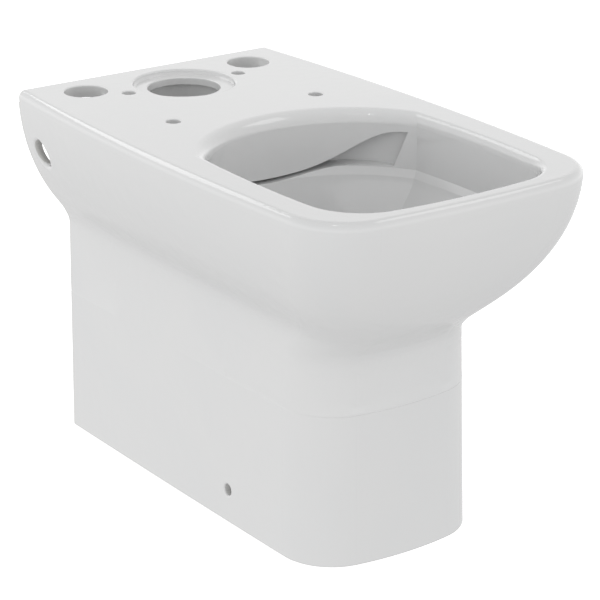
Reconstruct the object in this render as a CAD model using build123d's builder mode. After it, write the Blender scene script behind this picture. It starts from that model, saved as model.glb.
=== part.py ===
from build123d import *
import os
from math import cos, radians, sin, sqrt

# Floor-standing, close coupled toilet pan in vitreous china, back to wall, horizontal outlet.
# Millimetres. +X is the sitter's left-to-right width, +Y points to the wall, +Z is up.
# The origin is on the floor, at the middle of the pan's width and length.

LENGTH = 578
HEIGHT = 400
REAR = LENGTH / 2
SHELL_WALL = 9
BOWL_WALL = 9
DECK_THICKNESS = 13
UNDERSIDE = HEIGHT - DECK_THICKNESS

# Outer form: a straight foot, a soft neck and an elliptical flank that ends at the rim.
RIM_REAR_HALF = 161.7
RIM_BELLY = 13.6
FOOT_BELLY = 0.7
RIM_CORNER_SPREAD = 3.5
RIM_FRONT = LENGTH
RIM_CORNER_RADIUS = 66
RIM_FRONT_BOW = 8
FOOT_HALF = 106.3
NECK_HALF = 103.7
FOOT_FRONT = 479
NECK_FRONT = 472.5
FOOT_CORNER_RADIUS = 59
FOOT_FRONT_BOW = 18
NECK_HEIGHT = 235
NECK_EASE_SIDE = 14
NECK_EASE_FRONT = 30
FLANK_HEIGHT = 200
FLANK_REAR_SPREAD = 180.6
FLANK_FRONT_SPREAD = 215
FOOT_TOP = 160
FLANK_SECTIONS = [FOOT_TOP + step * (HEIGHT - FOOT_TOP) / 32 for step in range(33)]
EDGE_RADIUS = 8
REAR_EDGE_RADIUS = 2.5
FOOT_EDGE_RADIUS = 1.5
OVERRUN = 30

# Bowl mouth, measured at the flat of the deck, and the quarter round that rolls into it.
MOUTH_HALF = 139.6
MOUTH_REAR = 62
MOUTH_FRONT = -272
MOUTH_CORNER_RADIUS = 64
ROLL_SIDE = 7
ROLL_REAR = 16
ROLL_ANGLES = [0, 12, 26, 42, 58, 74, 90]
LEDGE_HEIGHT = 340
LEDGE_FOOT = 332
LEDGE_WIDTH = 4

BASIN_FLOOR = 112
# Basin levels below the ledge: height, half width, rear, front, corner radius.
BASIN_LEVELS = [
    (300, 112, 34, -236, 48),
    (260, 85, 28, -200, 44),
    (225, 69, 30, -158, 42),
    (185, 61, 36, -116, 40),
    (140, 54, 40, -78, 38),
    (BASIN_FLOOR, 44, 30, -58, 30),
]
BASIN_FLOOR_RADIUS = 20
CHANNEL_REAR = 72
CHANNEL_END = (131, -24)
CHANNEL_LEAN = 17.5
CHANNEL_FLOOR = 332
CURTAIN_THICKNESS = 8
# Half profiles across the pan: distance from the centre plane, height.
CHANNEL_EDGE = [(0, CHANNEL_FLOOR), (38, 335.5), (66, 340), (98, 341.6), (131, 342)]
CURTAIN_EDGE = [(0, 335.5), (43, 340.5), (67.5, 350.5), (85.5, 362), (100, 372), (110.5, 377.6), (124, 380), (140, 381)]

# Deck holes.
INLET_Y = 213.5
INLET_RADIUS = 39.2
RECESS_RADIUS = 54.9
RECESS_DEPTH = 5.3
CISTERN_HOLE_X = 104.2
CISTERN_HOLE_Y = 243.8
CISTERN_HOLE_RADIUS = 23.3
LOCATING_HOLE_X = 69.8
LOCATING_HOLE_Y = 212.7
LOCATING_HOLE_RADIUS = 7.5
HINGE_HOLE_X = 89.4
HINGE_HOLE_Y = 94.5
HINGE_HOLE_RADIUS = 7.8

# Side holes.
ACCESS_HOLE_Y = 253
ACCESS_HOLE_Z = 338
ACCESS_HOLE_RADIUS = 14.5
FIXING_HOLE_Y = -25
FIXING_HOLE_Z = 36
FIXING_HOLE_RADIUS = 6.2
ACCESS_LIP = 4
FIXING_LIP = 2
HOLE_LIP = 1.2
RECESS_LIP = 1.8
RECESS_FOOT = 3

# Trapway and outlet.
TRAP_BORE = 39
TRAP_WALL = 9
OUTLET_HEIGHT = 180
OUTLET_RADIUS = 51
OUTLET_BORE = 43
SPIGOT_START = 220
SPIGOT_END = 258
TRAP_PATH = [(-12, 152), (60, 120), (100, 226), (160, 226), (194, OUTLET_HEIGHT), (SPIGOT_START, OUTLET_HEIGHT)]
TRAP_BEND = 50
BRIDGE_BACK = 216
BRIDGE_DEPTH = 10
BRIDGE_BOTTOM = 70

# Flush distributor under the deck.
CHAMBER_RADIUS = 46
CHAMBER_WALL = 8
CHAMBER_FLOOR = 334
CHAMBER_SLOPE_START = 372
THROAT_HALF = 36
THROAT_TOP = 378
THROAT_FLOOR = 343

# Floor fixing set.
BRACKET_BACK = 96.4
BRACKET_HEIGHT = 56
BRACKET_WIDTH = 32
BRACKET_REACH = 42
BRACKET_PLATE = 6
NUT_SIZE = 10
NUT_THICKNESS = 5
SCREW_RADIUS = 3.1
NUT_BORE = 2.6
FOOT_SCREW_RADIUS = 3
RIB_THICKNESS = 4


def ease(start, end, share):
    return start + (end - start) * share


def soft_max(foot, flank, neck_ease):
    """The larger of two widths, with a fillet-like ease where they are closer than neck_ease."""
    closeness = max(neck_ease - abs(foot - flank), 0)
    return max(foot, flank) + closeness**2 / (4 * neck_ease)


def body_sizes(z):
    """Rear half width, share of the way from neck to rim, and front distance at a height."""
    drop = min((HEIGHT - z) / FLANK_HEIGHT, 1)
    bulge = 1 - sqrt(1 - drop**2)
    climb = min(z / NECK_HEIGHT, 1)
    flank_half = RIM_REAR_HALF - FLANK_REAR_SPREAD * bulge
    flank_front = RIM_FRONT - FLANK_FRONT_SPREAD * bulge
    rear_half = soft_max(ease(FOOT_HALF, NECK_HALF, climb), flank_half, NECK_EASE_SIDE)
    front = soft_max(ease(FOOT_FRONT, NECK_FRONT, climb), flank_front, NECK_EASE_FRONT)
    side_share = (rear_half - NECK_HALF) / (RIM_REAR_HALF - NECK_HALF)
    front_share = (front - NECK_FRONT) / (RIM_FRONT - NECK_FRONT)
    return rear_half, front, max(side_share, 0), max(front_share, 0)


def draw_body_outline(z, inset=0):
    """Outline of the outer form at a height, run past the wall plane, drawn inside a sketch."""
    rear_half, front, side_share, front_share = body_sizes(z)
    rear_half -= inset
    mid_half = rear_half + FOOT_BELLY + RIM_BELLY * side_share
    corner_half = rear_half + RIM_CORNER_SPREAD * side_share
    front_y = REAR - front + inset
    bow = ease(FOOT_FRONT_BOW, RIM_FRONT_BOW, front_share)
    mid_y = ease(REAR, front_y, 0.55)
    corner_radius = ease(FOOT_CORNER_RADIUS, RIM_CORNER_RADIUS, front_share) - inset
    right_rear = (rear_half, REAR)
    right_corner = (corner_half, front_y + bow)
    left_corner = (-corner_half, front_y + bow)
    left_rear = (-rear_half, REAR)
    with BuildLine() as outline:
        ThreePointArc(right_rear, (mid_half, mid_y), right_corner)
        ThreePointArc(right_corner, (0, front_y), left_corner)
        ThreePointArc(left_corner, (-mid_half, mid_y), left_rear)
        Polyline(left_rear, (-rear_half, REAR + OVERRUN), (rear_half, REAR + OVERRUN), right_rear)
    face = make_face(outline.edges())
    fillet(face.vertices().group_by(Axis.Y)[0], corner_radius)


def draw_bowl_outline(half, rear, front, corner_radius):
    """Outline of the mouth and of the basin: a rear arc, bowed sides and a flatter front."""
    shoulder_x = 0.974 * half
    shoulder_y = rear - 0.575 * half
    corner_x = 0.942 * half
    corner_y = front + 0.08 * half
    side_mid = (half, ease(shoulder_y, corner_y, 0.34))
    with BuildLine() as outline:
        ThreePointArc((shoulder_x, shoulder_y), (0, rear), (-shoulder_x, shoulder_y))
        ThreePointArc((-shoulder_x, shoulder_y), (-side_mid[0], side_mid[1]), (-corner_x, corner_y))
        ThreePointArc((-corner_x, corner_y), (0, front), (corner_x, corner_y))
        ThreePointArc((corner_x, corner_y), side_mid, (shoulder_x, shoulder_y))
    face = make_face(outline.edges())
    fillet(face.vertices().group_by(Axis.Y)[0], corner_radius)
    fillet(face.vertices().sort_by(Axis.Y)[-2:], 0.7 * half)


def draw_mouth_outline(angle, grow=0):
    """Outline of the mouth where its quarter round has turned through an angle."""
    turn = sin(radians(angle))
    draw_bowl_outline(
        MOUTH_HALF - ROLL_SIDE * turn + grow,
        MOUTH_REAR - ROLL_REAR * turn + grow,
        MOUTH_FRONT + ROLL_SIDE * turn - grow,
        MOUTH_CORNER_RADIUS - ROLL_SIDE * turn + grow,
    )


def draw_channel_outline(grow=0):
    """Segment behind the flush curtain, wider by a wall where grow is given."""
    end_x, end_y = CHANNEL_END
    with BuildLine() as outline:
        ThreePointArc((end_x + grow, end_y), (0, CHANNEL_REAR + grow), (-end_x - grow, end_y))
        Line((-end_x - grow, end_y), (end_x + grow, end_y))
    make_face(outline.edges())


def draw_hung_profile(half_edge):
    """Closed profile under the deck: a mirrored curve below, straight sides and a straight top."""
    end_x, end_z = half_edge[-1]
    with BuildLine() as outline:
        Spline(*[(-x, z) for x, z in reversed(half_edge[1:])], *half_edge)
        Polyline((end_x, end_z), (end_x, UNDERSIDE), (-end_x, UNDERSIDE), (-end_x, end_z))
    make_face(outline.edges())


# Forms that several sub-parts are cut from.
os.makedirs("parts", exist_ok=True)

rear_plane = Plane.XZ.offset(-REAR)

# Both forms run past the wall plane, so that the cut there is flat.
with BuildPart() as outer_form:
    for z in (0, FOOT_TOP):
        with BuildSketch(Plane.XY.offset(z)):
            draw_body_outline(z)
    loft(ruled=True)
    for z in FLANK_SECTIONS:
        with BuildSketch(Plane.XY.offset(z)):
            draw_body_outline(z)
    loft()

with BuildPart() as hollow_form:
    for z in (0, FOOT_TOP):
        with BuildSketch(Plane.XY.offset(z)):
            draw_body_outline(z, SHELL_WALL)
    loft(ruled=True)
    for z in FLANK_SECTIONS:
        with BuildSketch(Plane.XY.offset(z)):
            draw_body_outline(z, SHELL_WALL)
    loft()

with BuildPart() as mouth_form:
    for angle in ROLL_ANGLES:
        with BuildSketch(Plane.XY.offset(HEIGHT - DECK_THICKNESS * (1 - cos(radians(angle))))):
            draw_mouth_outline(angle)
    loft()

with BuildPart() as mouth_wall:
    with BuildSketch(Plane.XY.offset(LEDGE_HEIGHT)) as ledge_outline:
        draw_mouth_outline(90)
    extrude(amount=UNDERSIDE - LEDGE_HEIGHT)
    with BuildSketch(Plane.XY.offset(LEDGE_FOOT)) as ledge_foot_outline:
        draw_mouth_outline(90, -LEDGE_WIDTH)
    loft([ledge_outline.sketch, ledge_foot_outline.sketch], ruled=True)

with BuildPart() as basin_hollow:
    with BuildSketch(Plane.XY.offset(LEDGE_FOOT)):
        draw_mouth_outline(90, -LEDGE_WIDTH)
    for z, half, rear, front, corner_radius in BASIN_LEVELS:
        with BuildSketch(Plane.XY.offset(z)):
            draw_bowl_outline(half, rear, front, corner_radius)
    loft()
    fillet(basin_hollow.faces().sort_by(Axis.Z)[0].edges(), BASIN_FLOOR_RADIUS)

with BuildPart() as basin_outside:
    with BuildSketch(Plane.XY.offset(LEDGE_FOOT)):
        draw_mouth_outline(90, BOWL_WALL - LEDGE_WIDTH)
    for z, half, rear, front, corner_radius in BASIN_LEVELS:
        level = z if z > BASIN_FLOOR else z - BOWL_WALL
        with BuildSketch(Plane.XY.offset(level)):
            draw_bowl_outline(half + BOWL_WALL, rear + BOWL_WALL, front - BOWL_WALL, corner_radius + BOWL_WALL)
    loft()
    fillet(basin_outside.faces().sort_by(Axis.Z)[0].edges(), BASIN_FLOOR_RADIUS)

with BuildPart() as channel_form:
    with BuildSketch(Plane.XY.offset(CHANNEL_FLOOR)):
        draw_channel_outline()
    extrude(amount=UNDERSIDE - CHANNEL_FLOOR)
    with BuildSketch(Plane.XZ):
        draw_hung_profile(CHANNEL_EDGE)
    extrude(amount=REAR, both=True, mode=Mode.INTERSECT)
    with BuildSketch(Plane.YZ):
        with BuildLine():
            Polyline(
                (CHANNEL_END[1] + CHANNEL_LEAN, CHANNEL_FLOOR),
                (REAR, CHANNEL_FLOOR),
                (REAR, UNDERSIDE),
                (CHANNEL_END[1], UNDERSIDE),
                close=True,
            )
        make_face()
    extrude(amount=REAR, both=True, mode=Mode.INTERSECT)

with BuildPart() as channel_outside:
    with BuildSketch(Plane.XY.offset(CHANNEL_FLOOR - BOWL_WALL)):
        draw_channel_outline(BOWL_WALL)
    extrude(amount=UNDERSIDE - CHANNEL_FLOOR + BOWL_WALL)

with BuildLine(Plane.YZ) as trap_line:
    FilletPolyline(*TRAP_PATH, radius=TRAP_BEND)
trap_wire = trap_line.wire()


def sweep_trap(radius):
    """Round bar along the trapway's centre line."""
    with BuildPart() as bar:
        with BuildSketch(Plane(origin=trap_wire @ 0, z_dir=trap_wire % 0)):
            Circle(radius)
        sweep(path=trap_wire)
    return bar.part


trap_hollow = sweep_trap(TRAP_BORE)

with BuildPart() as chamber_form:
    with BuildSketch(Plane.XY.offset(CHAMBER_FLOOR)):
        with Locations((0, INLET_Y)):
            Circle(CHAMBER_RADIUS)
    extrude(amount=UNDERSIDE - CHAMBER_FLOOR)
    with BuildSketch(Plane.YZ.offset(-CHAMBER_RADIUS)):
        with BuildLine():
            Polyline(
                (INLET_Y - CHAMBER_RADIUS / 2, CHAMBER_FLOOR),
                (INLET_Y + CHAMBER_RADIUS, CHAMBER_FLOOR),
                (INLET_Y + CHAMBER_RADIUS, CHAMBER_SLOPE_START),
                close=True,
            )
        make_face()
    extrude(amount=2 * CHAMBER_RADIUS, mode=Mode.SUBTRACT)
    with BuildSketch(Plane.XZ.offset(-INLET_Y)):
        with Locations((0, (THROAT_FLOOR + THROAT_TOP) / 2)):
            RectangleRounded(2 * THROAT_HALF, THROAT_TOP - THROAT_FLOOR, 8)
    extrude(amount=INLET_Y - MOUTH_REAR)


def lip_edges(builder, radius, y=None, z=HEIGHT):
    """Outer edges of the round holes of a radius: on the deck, or on both flanks at a given y and z."""
    if y is None:
        rims = builder.edges().filter_by(GeomType.CIRCLE).filter_by_position(Axis.Z, z - 0.01, z + 0.01)
        return [rim for rim in rims if abs(rim.radius - radius) < 0.01]
    rims = [
        rim
        for rim in builder.edges()
        if all(abs(sqrt((end.Y - y) ** 2 + (end.Z - z) ** 2) - radius) < 0.2 for end in rim.vertices())
    ]
    rims.sort(key=lambda rim: rim.center().X)
    return [rims[0], rims[-1]]


# Pan shell: skirt, neck and flanks in one casting, open at the back and underneath.
with BuildPart() as pan_shell:
    add(outer_form.part)
    split(bisect_by=Plane.XY.offset(UNDERSIDE), keep=Keep.BOTTOM)
    fillet(pan_shell.faces().sort_by(Axis.Z)[0].edges(), FOOT_EDGE_RADIUS)
    split(bisect_by=rear_plane, keep=Keep.TOP)
    add(hollow_form.part, mode=Mode.SUBTRACT)
    with Locations((0, ACCESS_HOLE_Y, ACCESS_HOLE_Z)):
        Cylinder(ACCESS_HOLE_RADIUS, 2 * RIM_FRONT, rotation=(0, 90, 0), mode=Mode.SUBTRACT)
    with Locations((0, FIXING_HOLE_Y, FIXING_HOLE_Z)):
        Cylinder(FIXING_HOLE_RADIUS, 2 * RIM_FRONT, rotation=(0, 90, 0), mode=Mode.SUBTRACT)
    fillet(lip_edges(pan_shell, ACCESS_HOLE_RADIUS, ACCESS_HOLE_Y, ACCESS_HOLE_Z), ACCESS_LIP)
    fillet(lip_edges(pan_shell, FIXING_HOLE_RADIUS, FIXING_HOLE_Y, FIXING_HOLE_Z), FIXING_LIP)
pan_shell.part.label = "pan_shell"
export_step(pan_shell.part, "parts/pan_shell.step")

# Rim and deck: the top casting, which closes the shell and carries every deck hole.
with BuildPart() as rim_deck:
    add(outer_form.part)
    split(bisect_by=Plane.XY.offset(UNDERSIDE), keep=Keep.TOP)
    fillet(rim_deck.faces().sort_by(Axis.Z)[-1].edges(), EDGE_RADIUS)
    split(bisect_by=rear_plane, keep=Keep.TOP)
    fillet(rim_deck.faces().sort_by(Axis.Z)[-1].edges().sort_by(Axis.Y)[-1], REAR_EDGE_RADIUS)
    add(mouth_form.part, mode=Mode.SUBTRACT)
    with Locations((0, INLET_Y, HEIGHT)):
        CounterBoreHole(INLET_RADIUS, RECESS_RADIUS, RECESS_DEPTH)
    with Locations((CISTERN_HOLE_X, CISTERN_HOLE_Y, HEIGHT), (-CISTERN_HOLE_X, CISTERN_HOLE_Y, HEIGHT)):
        Hole(CISTERN_HOLE_RADIUS)
    with Locations((LOCATING_HOLE_X, LOCATING_HOLE_Y, HEIGHT), (-LOCATING_HOLE_X, LOCATING_HOLE_Y, HEIGHT)):
        Hole(LOCATING_HOLE_RADIUS)
    with Locations((HINGE_HOLE_X, HINGE_HOLE_Y, HEIGHT), (-HINGE_HOLE_X, HINGE_HOLE_Y, HEIGHT)):
        Hole(HINGE_HOLE_RADIUS)
    fillet(lip_edges(rim_deck, RECESS_RADIUS), RECESS_LIP)
    for radius in (CISTERN_HOLE_RADIUS, LOCATING_HOLE_RADIUS, HINGE_HOLE_RADIUS):
        fillet(lip_edges(rim_deck, radius), HOLE_LIP)
    fillet(lip_edges(rim_deck, RECESS_RADIUS, z=HEIGHT - RECESS_DEPTH), RECESS_FOOT)
    fillet(lip_edges(rim_deck, INLET_RADIUS, z=HEIGHT - RECESS_DEPTH), HOLE_LIP)
rim_deck.part.label = "rim_deck"
export_step(rim_deck.part, "parts/rim_deck.step")

# Bowl: basin, upright wall above the ledge, and the channel that feeds the flush round it.
with BuildPart() as bowl:
    add(basin_outside.part)
    with BuildSketch(Plane.XY.offset(LEDGE_FOOT - LEDGE_WIDTH)):
        draw_mouth_outline(90, BOWL_WALL)
    extrude(amount=UNDERSIDE - LEDGE_FOOT + LEDGE_WIDTH)
    add(channel_outside.part)
    add(mouth_wall.part, mode=Mode.SUBTRACT)
    add(channel_form.part, mode=Mode.SUBTRACT)
    add(basin_hollow.part, mode=Mode.SUBTRACT)
    add(trap_hollow, mode=Mode.SUBTRACT)
    add(chamber_form.part, mode=Mode.SUBTRACT)
    add(hollow_form.part, mode=Mode.INTERSECT)
bowl.part.label = "bowl"
export_step(bowl.part, "parts/bowl.step")

# Flush curtain: the lip that hangs below the rear of the rim and turns the water sideways.
with BuildPart() as curtain_edge:
    with BuildSketch(Plane.XZ):
        draw_hung_profile(CURTAIN_EDGE)
    extrude(amount=REAR, both=True)

with BuildPart() as flush_curtain:
    with BuildSketch(Plane.XY.offset(CHANNEL_FLOOR)):
        draw_mouth_outline(90, CURTAIN_THICKNESS)
    extrude(amount=UNDERSIDE - CHANNEL_FLOOR)
    with BuildSketch(Plane.XY.offset(CHANNEL_FLOOR)):
        draw_mouth_outline(90)
    extrude(amount=UNDERSIDE - CHANNEL_FLOOR, mode=Mode.SUBTRACT)
    add(channel_form.part, mode=Mode.INTERSECT)
    add(curtain_edge.part, mode=Mode.INTERSECT)
flush_curtain.part.label = "flush_curtain"
export_step(flush_curtain.part, "parts/flush_curtain.step")

# Flush distributor: the chamber under the inlet and the throat that leads to the channel.
with BuildPart() as flush_distributor:
    with BuildSketch(Plane.XY.offset(CHAMBER_FLOOR - CHAMBER_WALL)):
        with Locations((0, INLET_Y)):
            Circle(CHAMBER_RADIUS + CHAMBER_WALL)
        with Locations((0, (INLET_Y + CHANNEL_REAR) / 2)):
            Rectangle(2 * (THROAT_HALF + CHAMBER_WALL), INLET_Y - CHANNEL_REAR)
    extrude(amount=UNDERSIDE - CHAMBER_FLOOR + CHAMBER_WALL)
    add(channel_outside.part, mode=Mode.SUBTRACT)
    add(chamber_form.part, mode=Mode.SUBTRACT)
flush_distributor.part.label = "flush_distributor"
export_step(flush_distributor.part, "parts/flush_distributor.step")

# Trapway: the water seal, from the sump up over the weir and back to the outlet.
with BuildPart() as trapway:
    add(sweep_trap(TRAP_BORE + TRAP_WALL))
    add(trap_hollow, mode=Mode.SUBTRACT)
    add(basin_outside.part, mode=Mode.SUBTRACT)
    add(basin_hollow.part, mode=Mode.SUBTRACT)
trapway.part.label = "trapway"
export_step(trapway.part, "parts/trapway.step")

# Outlet spigot: plain end for a standard pan connector, set back from the wall.
with BuildPart() as outlet_spigot:
    with BuildSketch(Plane.XZ.offset(-SPIGOT_START)):
        with Locations((0, OUTLET_HEIGHT)):
            Circle(OUTLET_RADIUS)
            Circle(OUTLET_BORE, mode=Mode.SUBTRACT)
    extrude(amount=SPIGOT_START - SPIGOT_END)
    fillet(outlet_spigot.faces().sort_by(Axis.Y)[-1].edges(), 2.5)
outlet_spigot.part.label = "outlet_spigot"
export_step(outlet_spigot.part, "parts/outlet_spigot.step")

# Outlet bridge: the web that ties the two skirt walls together and carries the trapway's end.
with BuildPart() as outlet_bridge:
    add(hollow_form.part)
    split(bisect_by=Plane.XZ.offset(-BRIDGE_BACK), keep=Keep.TOP)
    split(bisect_by=Plane.XZ.offset(BRIDGE_DEPTH - BRIDGE_BACK), keep=Keep.BOTTOM)
    split(bisect_by=Plane.XY.offset(BRIDGE_BOTTOM), keep=Keep.TOP)
    split(bisect_by=Plane.XY.offset(OUTLET_HEIGHT), keep=Keep.BOTTOM)
    add(sweep_trap(TRAP_BORE + TRAP_WALL), mode=Mode.SUBTRACT)
outlet_bridge.part.label = "outlet_bridge"
export_step(outlet_bridge.part, "parts/outlet_bridge.step")


def draw_bracket_side(side):
    """Angle bracket seen along the pan: foot plate, upright and the thick pad that holds the nut."""
    back = BRACKET_BACK
    with BuildLine() as outline:
        Polyline(
            (side * back, 0),
            (side * (back - BRACKET_REACH), 0),
            (side * (back - BRACKET_REACH), BRACKET_PLATE),
            (side * (back - 2 * BRACKET_PLATE), BRACKET_PLATE),
            (side * (back - 2 * BRACKET_PLATE), BRACKET_HEIGHT),
            (side * back, BRACKET_HEIGHT),
            close=True,
        )
    make_face(outline.edges())


def make_bracket(side):
    """Moulded floor bracket that stands inside the skirt at a side hole; side is +1 or -1."""
    pocket_x = side * (BRACKET_BACK - 2 * BRACKET_PLATE + NUT_THICKNESS / 2)
    foot_screw_x = side * (BRACKET_BACK - 0.66 * BRACKET_REACH)
    with BuildPart() as bracket:
        with BuildSketch(Plane.XZ.offset(-FIXING_HOLE_Y)):
            draw_bracket_side(side)
        extrude(amount=BRACKET_WIDTH / 2, both=True)
        fillet(bracket.edges().filter_by(Axis.X).sort_by(Axis.Z)[-2:], 6)
        fillet(bracket.edges().filter_by(Axis.Z).sort_by(Axis.X, reverse=side < 0)[:2], 6)
        for rib_y in (-1, 1):
            with BuildSketch(Plane.XZ.offset(-FIXING_HOLE_Y - rib_y * (BRACKET_WIDTH / 2 - RIB_THICKNESS))):
                with BuildLine() as web:
                    Polyline(
                        (side * (BRACKET_BACK - 2 * BRACKET_PLATE), BRACKET_PLATE),
                        (side * (BRACKET_BACK - BRACKET_REACH + BRACKET_PLATE), BRACKET_PLATE),
                        (side * (BRACKET_BACK - 2 * BRACKET_PLATE), BRACKET_HEIGHT - 2 * BRACKET_PLATE),
                        close=True,
                    )
                make_face(web.edges())
            extrude(amount=RIB_THICKNESS / 2, both=True)
        with Locations((pocket_x, FIXING_HOLE_Y, FIXING_HOLE_Z)):
            Box(NUT_THICKNESS, NUT_SIZE, NUT_SIZE, mode=Mode.SUBTRACT)
        with Locations((side * BRACKET_BACK, FIXING_HOLE_Y, FIXING_HOLE_Z)):
            Cylinder(SCREW_RADIUS, 4 * BRACKET_PLATE, rotation=(0, 90, 0), mode=Mode.SUBTRACT)
        with Locations((foot_screw_x, FIXING_HOLE_Y, BRACKET_PLATE)):
            CounterSinkHole(FOOT_SCREW_RADIUS, 2 * FOOT_SCREW_RADIUS)
    return bracket.part


def make_nut(side):
    """Square nut that sits in the bracket's pocket, in line with the side hole."""
    nut_x = side * (BRACKET_BACK - 2 * BRACKET_PLATE + NUT_THICKNESS / 2)
    with BuildPart() as nut:
        with Locations((nut_x, FIXING_HOLE_Y, FIXING_HOLE_Z)):
            Box(NUT_THICKNESS, NUT_SIZE, NUT_SIZE)
            Cylinder(NUT_BORE, 2 * NUT_THICKNESS, rotation=(0, 90, 0), mode=Mode.SUBTRACT)
        chamfer(nut.edges().filter_by(GeomType.CIRCLE), 0.5)
    return nut.part


# Floor fixing set: one bracket and one captive nut behind each side hole.
for name, side in (("left", -1), ("right", 1)):
    bracket = make_bracket(side)
    bracket.label = name + "_floor_bracket"
    export_step(bracket, "parts/" + bracket.label + ".step")
    nut = make_nut(side)
    nut.label = name + "_bracket_nut"
    export_step(nut, "parts/" + nut.label + ".step")
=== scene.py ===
import math
import bpy
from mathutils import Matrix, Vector


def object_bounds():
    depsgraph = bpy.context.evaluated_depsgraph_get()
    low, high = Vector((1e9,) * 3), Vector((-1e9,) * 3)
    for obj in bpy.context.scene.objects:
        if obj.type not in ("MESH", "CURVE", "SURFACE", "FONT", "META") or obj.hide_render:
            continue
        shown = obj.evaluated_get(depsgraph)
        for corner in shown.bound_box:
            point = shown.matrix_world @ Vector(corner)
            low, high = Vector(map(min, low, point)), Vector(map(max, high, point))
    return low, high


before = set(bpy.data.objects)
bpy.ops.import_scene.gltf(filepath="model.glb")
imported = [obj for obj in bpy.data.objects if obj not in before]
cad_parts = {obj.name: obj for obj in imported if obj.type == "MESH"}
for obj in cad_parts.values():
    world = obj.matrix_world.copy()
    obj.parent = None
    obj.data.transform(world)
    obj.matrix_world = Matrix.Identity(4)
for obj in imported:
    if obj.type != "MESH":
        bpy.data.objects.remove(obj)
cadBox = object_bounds()
lowCorner, highCorner = cadBox
panCentre = (Vector(lowCorner) + Vector(highCorner)) / 2
print("frame loaded:", len(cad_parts), "pieces")


class Wire:
    # one value in a shader, so that sums on it read as sums
    def __init__(self, shade, socket):
        self.shade, self.socket = shade, socket

    def maths(self, operation, first, second):
        return self.shade.make("ShaderNodeMath", {"operation": operation}, {0: first, 1: second})

    def __add__(self, other):
        return self.maths("ADD", self, other)

    def __sub__(self, other):
        return self.maths("SUBTRACT", self, other)

    def __rsub__(self, other):
        return self.maths("SUBTRACT", other, self)

    def __mul__(self, other):
        return self.maths("MULTIPLY", self, other)

    def __pow__(self, other):
        return self.maths("POWER", self, other)

    def __neg__(self):
        return self.maths("MULTIPLY", self, -1.0)

    def above(self, other):
        return self.maths("MAXIMUM", self, other)

    def clipped(self):
        return self.shade.make("ShaderNodeClamp", {}, {"Value": self})

    __radd__, __rmul__ = __add__, __mul__


class Shade:
    # the nodes of a material or of the sky, under construction
    def __init__(self, owner, shader="Principled BSDF"):
        self.owner = owner
        owner.use_nodes = True
        self.tree = owner.node_tree
        self.surface = self.tree.nodes[shader]
        self.place = self.make("ShaderNodeTexCoord", {}, {}, "Object")
        self.facing = Wire(self, self.place.socket.node.outputs["Normal"])

    def make(self, kind, settings, sockets, output=0):
        node = self.tree.nodes.new(kind)
        for key, value in settings.items():
            setattr(node, key, value)
        for key, value in sockets.items():
            self.feed(node.inputs[key], value)
        return Wire(self, node.outputs[output])

    def feed(self, socket, value):
        if isinstance(value, Wire):
            self.tree.links.new(value.socket, socket)
        else:
            socket.default_value = value

    def noise(self, size, detail=2.0, warp=0.0):
        # a cloud of patches, size in metres
        sockets = {"Vector": self.place, "Scale": 1 / size, "Detail": detail, "Distortion": warp}
        return self.make("ShaderNodeTexNoise", {"noise_dimensions": "3D"}, sockets)

    def cells(self, size, output):
        # cells of a size in metres: the distance to a cell's point, or a colour of its own
        sockets = {"Vector": self.place, "Scale": 1 / size}
        return self.make("ShaderNodeTexVoronoi", {"feature": "F1"}, sockets, output)

    def axes(self, vector):
        split = self.make("ShaderNodeSeparateXYZ", {}, {"Vector": vector}).socket.node
        return [Wire(self, split.outputs[k]) for k in range(3)]

    def colours(self, share, first, second):
        # 6 and 7 are the colour sockets of the Mix node
        return self.make("ShaderNodeMix", {"data_type": "RGBA"}, {0: share, 6: first, 7: second}, 2)

    def finish(self, colour, roughness, height, depth, **fixed):
        bump = self.make("ShaderNodeBump", {}, {"Height": height, "Distance": depth, "Strength": 1.0})
        self.feed(self.surface.inputs["Base Color"], colour)
        self.feed(self.surface.inputs["Roughness"], roughness)
        self.feed(self.surface.inputs["Normal"], bump)
        for key, value in fixed.items():
            self.surface.inputs[key.replace("_", " ")].default_value = value
        return self.owner


def dress(material, *names):
    for name in names:
        for place in bpy.data.objects[name].material_slots:
            place.material = material
    print("dressed", ", ".join(names), "in", material.name)


# fired china: white glaze over a cream body
china = {
    "white": (0.745, 0.745, 0.742, 1),
    "thickGlaze": (0.722, 0.727, 0.730, 1),  # a little bluer where the glaze pools
    "speck": (0.60, 0.58, 0.55, 1),
    "raw": (0.56, 0.555, 0.54, 1),
    "rawDark": (0.49, 0.485, 0.47, 1),
    "cloudSize": 0.16,
    "rippleSize": 0.021,
    "pimpleSize": 0.0038,
    "grainSize": 0.0011,
    "runSize": 0.018,
    "speckSpacing": 0.034,
    "speckSize": 0.011,  # share of the spacing
    "speckShare": 0.62,  # of the cells, this share has no speck
    "glossRough": 0.09,
    "rawRough": 0.72,
    "coatWeight": 0.85,
    "coatRough": 0.035,
    "index": 1.52,
    "relief": 0.0009,
    "groundDepth": 0.0008,  # how far a ground edge is bare
    "groundSharp": 3000,
}


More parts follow.
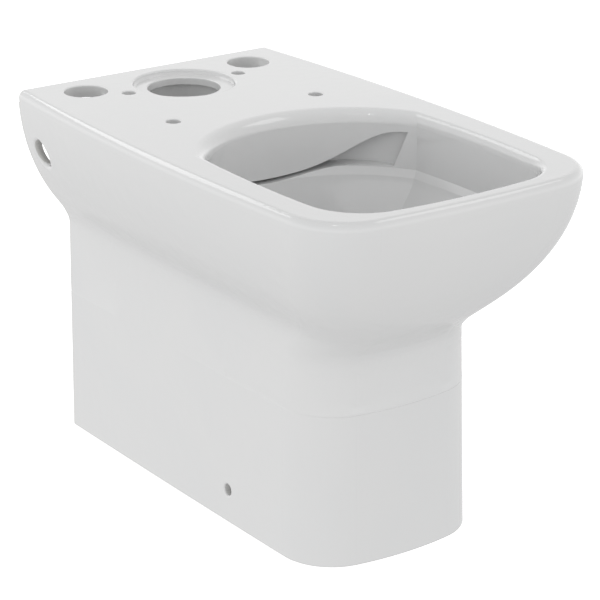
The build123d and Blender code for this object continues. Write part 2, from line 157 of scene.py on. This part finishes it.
def chinaBody(name, rawShare):
    # rawShare takes the shade and gives 0 where the glaze covers, 1 where the body is bare
    shade = Shade(bpy.data.materials.new(name))
    cloud = shade.noise(china["cloudSize"], 3.0, 0.6)
    ripple = shade.noise(china["rippleSize"], 1.0)
    pimple = shade.noise(china["pimpleSize"], 1.0)
    grain = shade.noise(china["grainSize"], 3.0)
    runs = shade.noise(china["runSize"], 2.0, 1.5)
    bare = ((rawShare(shade) - 0.5) * 6 + 0.5 + (runs - 0.5) * 1.4).clipped()
    near = shade.cells(china["speckSpacing"], "Distance")
    pick = shade.axes(shade.cells(china["speckSpacing"], "Color"))[0]
    speck = ((china["speckSize"] - near) * 200).clipped() * ((pick - china["speckShare"]) * 8).clipped()
    glazed = shade.colours((cloud * 1.6 - 0.3).clipped(), china["white"], china["thickGlaze"])
    glazed = shade.colours(speck * 0.55, glazed, china["speck"])
    bisque = shade.colours((grain * 0.5 + cloud * 0.5).clipped(), china["raw"], china["rawDark"])
    colour = shade.colours(bare, glazed, bisque)
    covered = 1 - bare
    roughness = covered * (china["glossRough"] + 0.05 * cloud + 0.2 * speck)
    roughness = roughness + bare * (china["rawRough"] + 0.12 * grain)
    height = covered * (0.30 * ripple + 0.022 * pimple - 0.05 * speck)
    height = height + bare * (0.16 * grain + 0.2 * runs)
    shade.feed(shade.surface.inputs["Coat Weight"], covered * china["coatWeight"])
    fixed = {"IOR": china["index"], "Coat_Roughness": china["coatRough"], "Coat_IOR": china["index"]}
    return shade.finish(colour, roughness, height, china["relief"], **fixed)


def ground(depth):
    # bare where the china was ground flat, by the depth below the ground face
    return ((china["groundDepth"] - depth) * china["groundSharp"]).clipped()


def shellRaw(shade):
    # inside of the skirt, the ground back edge and the ring that stands on the floor
    x, y, z = shade.axes(shade.place)
    facingX, facingY = shade.axes(shade.facing)[:2]
    inside = (0.5 - 40 * (x * facingX + (y - 0.06) * facingY)).clipped()
    return inside.above(ground(highCorner[1] - y)).above(ground(z - lowCorner[2]))


def rimRaw(shade):
    # underside of the deck and the back edge
    facingZ = shade.axes(shade.facing)[2]
    y = shade.axes(shade.place)[1]
    return (-facingZ * 4 - 2).clipped().above(ground(highCorner[1] - y))


def bowlRaw(shade):
    # the glaze covers all that faces the mouth
    x, y, z = shade.axes(shade.place)
    facingX, facingY, facingZ = shade.axes(shade.facing)
    return (0.5 + 40 * (x * facingX + (y + 0.06) * facingY + (z - 0.43) * facingZ)).clipped()


def noRaw(shade):
    return 0.0


def mostlyRaw(shade):
    return 0.75 + 0.25 * shade.noise(0.07, 2.0)


dress(chinaBody("glazed china shell", shellRaw), "pan_shell")
dress(chinaBody("glazed china rim", rimRaw), "rim_deck")
dress(chinaBody("glazed china bowl", bowlRaw), "bowl")
dress(chinaBody("glazed china lip", noRaw), "flush_curtain", "flush_distributor", "outlet_spigot")
dress(chinaBody("bare china", mostlyRaw), "trapway", "outlet_bridge")

# floor brackets: natural nylon
nylon = {
    "light": (0.74, 0.73, 0.69, 1),
    "deep": (0.66, 0.645, 0.60, 1),
    "flowSize": 0.012,
    "sparkSize": 0.0009,
    "index": 1.53,
    "relief": 0.00025,
}


def bracketNylon():
    shade = Shade(bpy.data.materials.new("bracket nylon"))
    flow = shade.noise(nylon["flowSize"], 3.0, 2.5)
    spark = shade.noise(nylon["sparkSize"], 2.0)
    colour = shade.colours(flow, nylon["light"], nylon["deep"])
    roughness = 0.42 + 0.14 * flow + 0.06 * spark
    height = 0.2 * flow + 0.35 * spark
    return shade.finish(colour, roughness, height, nylon["relief"], IOR=nylon["index"])


dress(bracketNylon(), "left_floor_bracket", "right_floor_bracket")

# captive nuts: bright zinc over steel
zinc = {
    "bright": (0.66, 0.67, 0.69, 1),
    "dull": (0.50, 0.51, 0.53, 1),
    "spangleSize": 0.0016,
    "scratchSize": 0.0004,
    "relief": 0.00012,
}


def nutZinc():
    shade = Shade(bpy.data.materials.new("zinc plate"))
    spangle = shade.axes(shade.cells(zinc["spangleSize"], "Color"))[0]
    scratch = shade.noise(zinc["scratchSize"], 3.0, 1.0)
    colour = shade.colours(spangle * 0.7 + scratch * 0.3, zinc["bright"], zinc["dull"])
    roughness = 0.24 + 0.16 * spangle + 0.10 * scratch
    height = 0.3 * spangle + 0.3 * scratch
    return shade.finish(colour, roughness, height, zinc["relief"], Metallic=1.0)


dress(nutZinc(), "left_bracket_nut", "right_bracket_nut")

# camera, aimed a little off the middle of the pan
shot = {
    "azimuth": -35.18,
    "elevation": 20.32,
    "distance": 2.70,
    "aside": (0.0285, 0.0367, -0.0026),
    "lens": 153.15,
    "sensor": 36,
}
turn, tilt = math.radians(shot["azimuth"]), math.radians(shot["elevation"])
looking = Vector((-math.sin(turn), math.cos(turn), 0)) * math.cos(tilt) - Vector((0, 0, math.sin(tilt)))
camera = bpy.data.objects.new("camera", bpy.data.cameras.new("camera"))
bpy.context.collection.objects.link(camera)
camera.location = panCentre + Vector(shot["aside"]) - looking * shot["distance"]
camera.rotation_euler = (math.pi / 2 - tilt, 0, turn)
camera.data.lens = shot["lens"]
camera.data.sensor_width = shot["sensor"]
bpy.context.scene.camera = camera
print("camera placed")

# studio: a white room brightest along the horizon, soft boxes, and a white sweep
studio = {
    "horizon": 1.28,
    "overhead": 0.68,
    "underfoot": 0.70,
    "left": 0.07,  # added on the left, taken away on the right
    "boxes": {
        "back box": {"from": (-0.42, 2.08, 1.68), "size": (1.6, 0.8), "watts": 5.0},
        "right box": {"from": (1.46, -0.40, 2.24), "size": (1.3, 0.8), "watts": 3.6},
        "first spot": {"from": (-0.65, -0.5, 2.3), "size": (0.10, 0.05), "watts": 0.3},
        "second spot": {"from": (-0.40, -0.75, 2.3), "size": (0.10, 0.05), "watts": 0.3},
    },
    "floorSize": 9.0,
    "floorGlow": 0.62,
    "floorTones": [(0.90, 0.90, 0.90, 1), (0.89, 0.89, 0.89, 1)],
}
world = bpy.data.worlds.new("studio sky")
bpy.context.scene.world = world
sky = Shade(world, "Background")
towardX, towardY, towardZ = sky.axes(Wire(sky, sky.place.socket.node.outputs["Generated"]))
sky.feed(sky.surface.inputs["Color"], (1, 1, 1, 1))
climb = 1 - (1 - towardZ.above(0.0)) ** 2
fall = 1 - (1 - (-towardZ).above(0.0)) ** 3
glow = studio["horizon"] - (studio["horizon"] - studio["overhead"]) * climb
glow = glow - (studio["horizon"] - studio["underfoot"]) * fall - studio["left"] * towardX
sky.feed(sky.surface.inputs["Strength"], glow)

for name, box in studio["boxes"].items():
    lamp = bpy.data.objects.new(name, bpy.data.lights.new(name, "AREA"))
    bpy.context.collection.objects.link(lamp)
    lamp.data.shape = "RECTANGLE"
    lamp.data.size, lamp.data.size_y = box["size"]
    lamp.data.energy = box["watts"]
    lamp.location = panCentre + Vector(box["from"])
    lamp.rotation_euler = (panCentre - lamp.location).to_track_quat("-Z", "Y").to_euler()

bpy.ops.mesh.primitive_plane_add(size=studio["floorSize"], location=(0, 0, 0))
floor = bpy.context.object
floor.name = "floor"
floor.visible_diffuse = floor.visible_glossy = False  # the sweep throws no light up at the pan
sweep = Shade(bpy.data.materials.new("white sweep"))
sweepTone = sweep.colours(sweep.noise(0.8), *studio["floorTones"])
sweepGlow = {"Emission_Color": (1, 1, 1, 1), "Emission_Strength": studio["floorGlow"]}
floor.data.materials.append(sweep.finish(sweepTone, 0.8, sweep.noise(0.01), 0.0001, **sweepGlow))
bpy.context.scene.view_settings.view_transform = "Standard"
print("studio lit")
